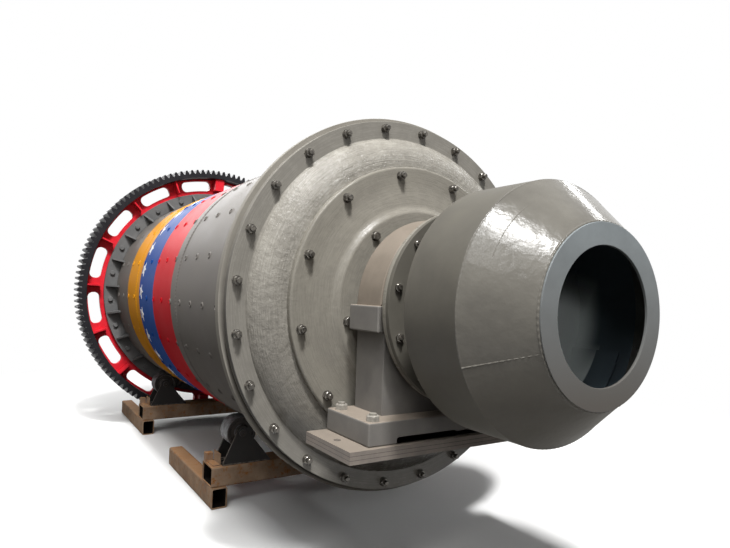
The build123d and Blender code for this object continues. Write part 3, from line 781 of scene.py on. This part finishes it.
# Grey enamel on flame-cut plate: matt and scuffed, with dust on top and a dark line at each joint.
sole_paint, tree, shader, place = new_finish("grey_enamel_on_sole_plates")
colour = coat(tree, shader, place, ("#77706a", "#8a8179"), (0.5, 0.65), blotch=70, grit=4, lift=0.25,
              sheen=0.15)
dusty = settle(tree, shader, colour, "#81776b", 0.7)
up = add_node(tree, "SeparateXYZ", {0: place}).outputs[2]
stack_middle = base_bottom - 1.5 * sole_thick
from_middle = add_node(tree, "Math", {0: up, 1: -stack_middle * mm}, operation="ADD").outputs[0]
from_middle = add_node(tree, "Math", {0: from_middle}, operation="ABSOLUTE").outputs[0]
joint = add_node(tree, "Math", {0: from_middle, 1: sole_thick / 2 * mm, 2: sole_line / 2 * mm},
                 operation="COMPARE").outputs[0]
lined = add_node(tree, "Mix", {0: joint, 6: dusty, 7: linear(joint_tone)}, data_type="RGBA").outputs[2]
tree.links.new(lined, shader.inputs["Base Color"])
for end in ("feed", "discharge"):
    for level in ("upper", "middle", "lower"):
        finish_nodes(sole_paint, f"{end}_sole_plate_{level}")

# Stands: cross beams and skids of rolled hollow section, rusted, and left open at their ends.
# Each beam lies across its two skids and carries a bracket and a roller at either side.
section_wall = 8
section_corner = 14


def node_box(node):
    """Low and high corner of a CAD node, in mill millimetres."""
    return (np.array(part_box(node)) - (flange_face, 0, axis_height)) / mm


def hollow_section(low, high, axis, wall=section_wall, corner=section_corner):
    """Rectangular tube that fills a box: round-cornered outlines, outer and inner, carried along an axis."""
    cross = [i for i in range(3) if i != axis]
    rings = []
    for inset, end in ((0, low), (0, high), (wall, high), (wall, low)):
        u_low, v_low = low[cross] + inset
        u_high, v_high = high[cross] - inset
        corners = [(u_low, v_low), (u_high, v_low), (u_high, v_high), (u_low, v_high)]
        outline = rounded(corners, corner - inset / 2)
        rings.append(np.insert(outline, axis, end[axis], 1))
    return np.stack(rings), [grid_faces(4, len(outline))]


# Rusted mild steel: dry and brown, with orange spots and paler dust on top.
rust, tree, shader, place = new_finish("rusted_mild_steel")
scale_tone = coat(tree, shader, place, ("#8c725d", "#b69c83"), (0.7, 0.9), blotch=130, grit=3, lift=0.4,
                  sheen=0.1)
spots = add_node(tree, "TexNoise", {"Vector": place, "Scale": per_size(45), "Detail": 8.0,
                                    "Roughness": 0.7}).outputs[0]
spots = add_node(tree, "MapRange", {0: spots, 1: 0.52, 2: 0.66}).outputs[0]
rusty = add_node(tree, "Mix", {0: spots, 6: scale_tone, 7: linear("#a06a3c")}, data_type="RGBA").outputs[2]
settle(tree, shader, rusty, "#b08256", 0.6)
# Painted shade inside the sections: a near-black lining, for the dark where no light gets in.
painted_shade_lining, tree, shader, place = new_finish("painted_shade_inside_sections")
coat(tree, shader, place, ("#0e0c0b", "#191512"), (0.8, 0.95), blotch=40, grit=4, sheen=0.05)
sleeve_inset = 7.5
sleeve_wall = 1.2
sleeve_corner = 10
for stand in ("front", "rear"):
    for beam, along_axis in (("cross_beam", 1), ("left_skid", 0), ("right_skid", 0)):
        node = f"{stand}_{beam}"
        low, high = node_box(node)
        add_piece(node, [hollow_section(low, high, along_axis)], rust, "frame", "rusted_steel", node)
        # Painted shade: a near-black sleeve lines the inside of each section.
        sleeve = hollow_section(low + sleeve_inset, high - sleeve_inset, along_axis, sleeve_wall,
                                sleeve_corner)
        add_piece(f"{node}_inside", [sleeve], painted_shade_lining, "frame", "rusted_steel")

# Rollers and brackets: rollers cast in one with their axles, in brackets of welded plate bolted to the beams.
# Both are black with grease and old paint, and worn to pale metal on the treads and along the plate edges.
tread_radius = 100
roller_profile = ((-98, 4), (-98, 25), (-70, 25), (-70, 44), (-58, 50), (-58, 78), (-70, 84),
                  (-70, tread_radius))
bracket_bolt_outline = ((-1, 15, 1), (9, 15, 1), (11, 13.5, 0), (11.1, 9), (17, 9), (17.1, 3))
bracket_bolt_inset = 24
bracket_foot_thick = 10
no_foot = -9999


def worn_edges(name, tones, edge_tone, rough, foot_top=no_foot):
    """Dark paint on faces square to the mill axis, and a worn tone on those along it and on the foot."""
    finish, tree, shader, place = new_finish(name)
    dark = coat(tree, shader, place, tones, rough, blotch=60, grit=4, sheen=0.25)
    facing = add_node(tree, "SeparateXYZ", {0: add_node(tree, "NewGeometry").outputs["Normal"]}).outputs[0]
    facing = add_node(tree, "Math", {0: facing}, operation="ABSOLUTE").outputs[0]
    scuffs = add_node(tree, "TexNoise", {"Vector": place, "Scale": per_size(30), "Detail": 5.0}).outputs[0]
    bare = add_node(tree, "MapRange", {0: scuffs, 1: 0.3, 2: 0.6}).outputs[0]
    edge = add_node(tree, "MapRange", {0: facing, 1: 0.7, 2: 0.3}).outputs[0]
    height = add_node(tree, "SeparateXYZ", {0: place}).outputs[2]
    foot = add_node(tree, "Math", {0: height, 1: foot_top * mm}, operation="LESS_THAN").outputs[0]
    edge = add_node(tree, "Math", {0: edge, 1: foot}, operation="MAXIMUM").outputs[0]
    bare = add_node(tree, "Math", {0: bare, 1: edge}, operation="MULTIPLY").outputs[0]
    worn = add_node(tree, "Mix", {0: bare, 6: dark, 7: linear(edge_tone)}, data_type="RGBA").outputs[2]
    tree.links.new(worn, shader.inputs["Base Color"])
    return finish


bracket_foot_top = node_box("front_cross_beam")[1][2] + bracket_foot_thick
# Old black paint on plate: dull, and rubbed to grey along the edges.
bracket_black = worn_edges("black_bracket_paint", ("#141211", "#231f1d"), "#6d655d", (0.5, 0.7),
                           bracket_foot_top)
# Greased cast iron: dark at the sides, and worn to pale metal on the tread.
roller_iron = worn_edges("greased_roller_iron", ("#1f1b19", "#332c28"), "#77777a", (0.4, 0.6))
roller_loop = rounded([*roller_profile, *[(-x, r) for x, r in roller_profile[::-1]]], 3)
for stand in ("front", "rear"):
    for hand in ("left", "right"):
        roller = f"{stand}_{hand}_roller"
        bracket = f"{stand}_{hand}_roller_bracket"
        points, faces = turned(roller_loop, turns=96)
        roller_shape = (points + node_box(roller).mean(0), faces)
        add_piece(roller, [roller_shape], roller_iron, roller, "dark_roller_steel", roller)
        finish_nodes(bracket_black, bracket)
        low, high = node_box(bracket)
        foot_top = node_box(f"{stand}_cross_beam")[1][2] + bracket_foot_thick
        middle = (low[0] + high[0]) / 2
        bolt_y = (low[1] + bracket_bolt_inset, high[1] - bracket_bolt_inset)
        bolt_places = [(middle, y, foot_top) for y in bolt_y]
        bolts = fasteners(np.array(bolt_places), (1, 0, 0), (0, 1, 0), (0, 0, 1), bracket_bolt_outline)
        add_piece(f"{bracket}_bolts", [bolts], bracket_black, "frame", "dark_bracket_steel")

# Stops: a block and a bent cleat at each end of each beam, cut from scrap steel and tacked on by the bracket.
# They are rusted like the beams. Sizes are along the axis, across it and up.
stop_size = (46, 50, 58)
stop_inset = (6, 4)
cleat_size = (120, 52, 76)
cleat_inset = (30, 14)
cleat_thick = 8
tack = 2
stops = []
for stand in ("front", "rear"):
    low, high = node_box(f"{stand}_cross_beam")
    for hand in (-1, 1):
        end = hand * high[1]
        foot = high[2] - tack
        stop_start = low[0] + stop_inset[0]
        stop_out = end - hand * stop_inset[1]
        stop_low, stop_high = np.sort([stop_out, stop_out - hand * stop_size[1]])
        stop_top = high[2] + stop_size[2]
        stop_outline = [(stop_low, foot), (stop_high, foot), (stop_high, stop_top), (stop_low, stop_top)]
        stops.append(extruded(rounded(stop_outline, 4), stop_start, stop_start + stop_size[0], edge=2.5))
        cleat_end = high[0] - cleat_inset[0]
        cleat_out = end - hand * cleat_inset[1]
        cleat_in = cleat_out - hand * cleat_size[1]
        cleat_web = cleat_in + hand * cleat_thick
        cleat_top = high[2] + cleat_size[2]
        cleat_outline = [(cleat_out, foot), (cleat_in, foot), (cleat_in, cleat_top), (cleat_web, cleat_top),
                         (cleat_web, high[2] + cleat_thick), (cleat_out, high[2] + cleat_thick)]
        stops.append(extruded(rounded(cleat_outline, 3), cleat_end - cleat_size[0], cleat_end, edge=2))
add_piece("beam_stops", stops, rust, "frame", "rusted_steel")

# Floor: a plain pale studio floor, which takes the shadow and fades to the white of the backdrop.
# To the eye it is near white, and the light that it throws back up is that of a dark grey one.
floor_reach = 40
fade_start = 2.6
fade_end = 6.5
floor_mesh = bpy.data.meshes.new("floor")
floor_mesh.from_pydata([(-floor_reach, -floor_reach, 0), (floor_reach, -floor_reach, 0),
                        (floor_reach, floor_reach, 0), (-floor_reach, floor_reach, 0)], [], [(0, 1, 2, 3)])
floor = bpy.data.objects.new("floor", floor_mesh)
bpy.context.scene.collection.objects.link(floor)


def seen_directly(tree):
    """One for what is seen, straight, in a reflection or through glass, and nought for soft bounced light."""
    rays = add_node(tree, "LightPath").outputs
    straight = {0: rays["Is Camera Ray"], 1: rays["Is Glossy Ray"]}
    seen = add_node(tree, "Math", straight, operation="MAXIMUM").outputs[0]
    return add_node(tree, "Math", {0: seen, 1: rays["Is Transmission Ray"]}, operation="MAXIMUM").outputs[0]


# Pale matt studio paint: near white, with a soft shadow and no shine.
floor_seen = "#f6f6f5"
floor_bounced = "#332f2b"
floor_finish, tree, shader, place = new_finish("pale_studio_floor")
seen = seen_directly(tree)
tone = add_node(tree, "Mix", {0: seen, 6: linear(floor_bounced), 7: linear(floor_seen)},
                data_type="RGBA").outputs[2]
tree.links.new(tone, shader.inputs["Base Color"])
shader.inputs["Roughness"].default_value = 0.9
flat = add_node(tree, "VectorMath", {0: add_node(tree, "TexCoord").outputs["Object"], 1: (1, 1, 0)},
                operation="MULTIPLY").outputs[0]
reach = add_node(tree, "VectorMath", {0: flat}, operation="LENGTH").outputs["Value"]
fade = add_node(tree, "MapRange", {0: reach, 1: fade_start, 2: fade_end},
                interpolation_type="SMOOTHSTEP").outputs[0]
fade = add_node(tree, "Math", {0: fade, 1: seen}, operation="MULTIPLY").outputs[0]
white = add_node(tree, "Emission", {"Color": (1, 1, 1, 1), "Strength": 1.0}).outputs[0]
blend = add_node(tree, "MixShader", {0: fade, 1: shader.outputs[0], 2: white}).outputs[0]
tree.links.new(blend, tree.nodes["Material Output"].inputs["Surface"])
floor_mesh.materials.append(floor_finish)

# Light: a white backdrop, and soft rectangular lamps, most of them overhead, with a large one behind the gear
# and a weak one at the front. Each has a place, a target, a heading for its long side, its length and width
# in metres, and its watts.
backdrop_bounce = 0.1
world = bpy.data.worlds.new("studio")
bpy.context.scene.world = world
world.use_nodes = True
tree = world.node_tree
strength = add_node(tree, "MapRange", {0: seen_directly(tree), 3: backdrop_bounce, 4: 1.0}).outputs[0]
tree.links.new(strength, tree.nodes["Background"].inputs["Strength"])
tree.nodes["Background"].inputs["Color"].default_value = (1, 1, 1, 1)
lamps = (("high_skylight", (7.2, -2.4, 13.3), (2.0, -0.3, 1.6), (1, 0, 0), 1.6, 1.4, 2150),
         ("long_skylight", (7.9, -3.8, 12.7), (2.0, -0.3, 1.6), (0.13, -0.24, -0.13), 3.4, 1.2, 850),
         ("side_skylight", (6.5, -5.2, 7.6), (2.0, -0.3, 1.6), (0.12, -0.26, -0.33), 3.6, 0.9, 165),
         ("rear_skylight", (0.3, -2.6, 6.0), (-1.0, -0.3, 1.4), (1, 0, 0), 4.5, 1.0, 130),
         ("rear_window", (-8.5, -0.6, 5.8), (0.4, -0.3, 2.0), (0, 1, 0), 5.5, 4.6, 400),
         ("far_skylight", (0.5, 6.4, 6.2), (2.4, 0.2, 1.7), (0.7, -0.3, 0), 2.2, 0.3, 45),
         ("open_door", (7.0, -2.9, 3.2), (1.8, 0, 1.3), (0, 1, 0), 1.0, 0.8, 36))
for name, spot, target, heading, length, width, power in lamps:
    lamp = bpy.data.lights.new(name, "AREA")
    lamp.shape = "RECTANGLE"
    lamp.size = length
    lamp.size_y = width
    lamp.energy = power
    back = (Vector(spot) - Vector(target)).normalized()
    side = (Vector(heading) - back * back.dot(Vector(heading))).normalized()
    holder = bpy.data.objects.new(name, lamp)
    facing = Matrix((side, back.cross(side), back)).transposed().to_4x4()
    holder.matrix_world = Matrix.Translation(spot) @ facing
    bpy.context.scene.collection.objects.link(holder)

# Camera: at eye height in front of the feed end and to its left, tilted up a little.
# Its place and lens come from the circles of the mill, in the photograph's frame of 730 by 548.
photo_width = 730
focal_pixels = 577.74
camera_from_flange = Vector((2.6334, -1.9208, 0.0671))
camera_right = Vector((0.53484, 0.84432, 0.03262))
camera_up = Vector((0.00703, -0.04305, 0.99905))
camera_look = Vector((-0.84492, 0.53411, 0.02896))
camera_data = bpy.data.cameras.new("photo_camera")
camera_data.sensor_width = 36.0
camera_data.lens = focal_pixels / photo_width * camera_data.sensor_width
camera = bpy.data.objects.new("photo_camera", camera_data)
turn = Matrix((camera_right, camera_up, -camera_look)).transposed().to_4x4()
camera.matrix_world = Matrix.Translation(Vector((flange_face, 0, axis_height)) + camera_from_flange) @ turn
bpy.context.scene.collection.objects.link(camera)
bpy.context.scene.camera = camera
bpy.context.scene.view_settings.view_transform = "Standard"
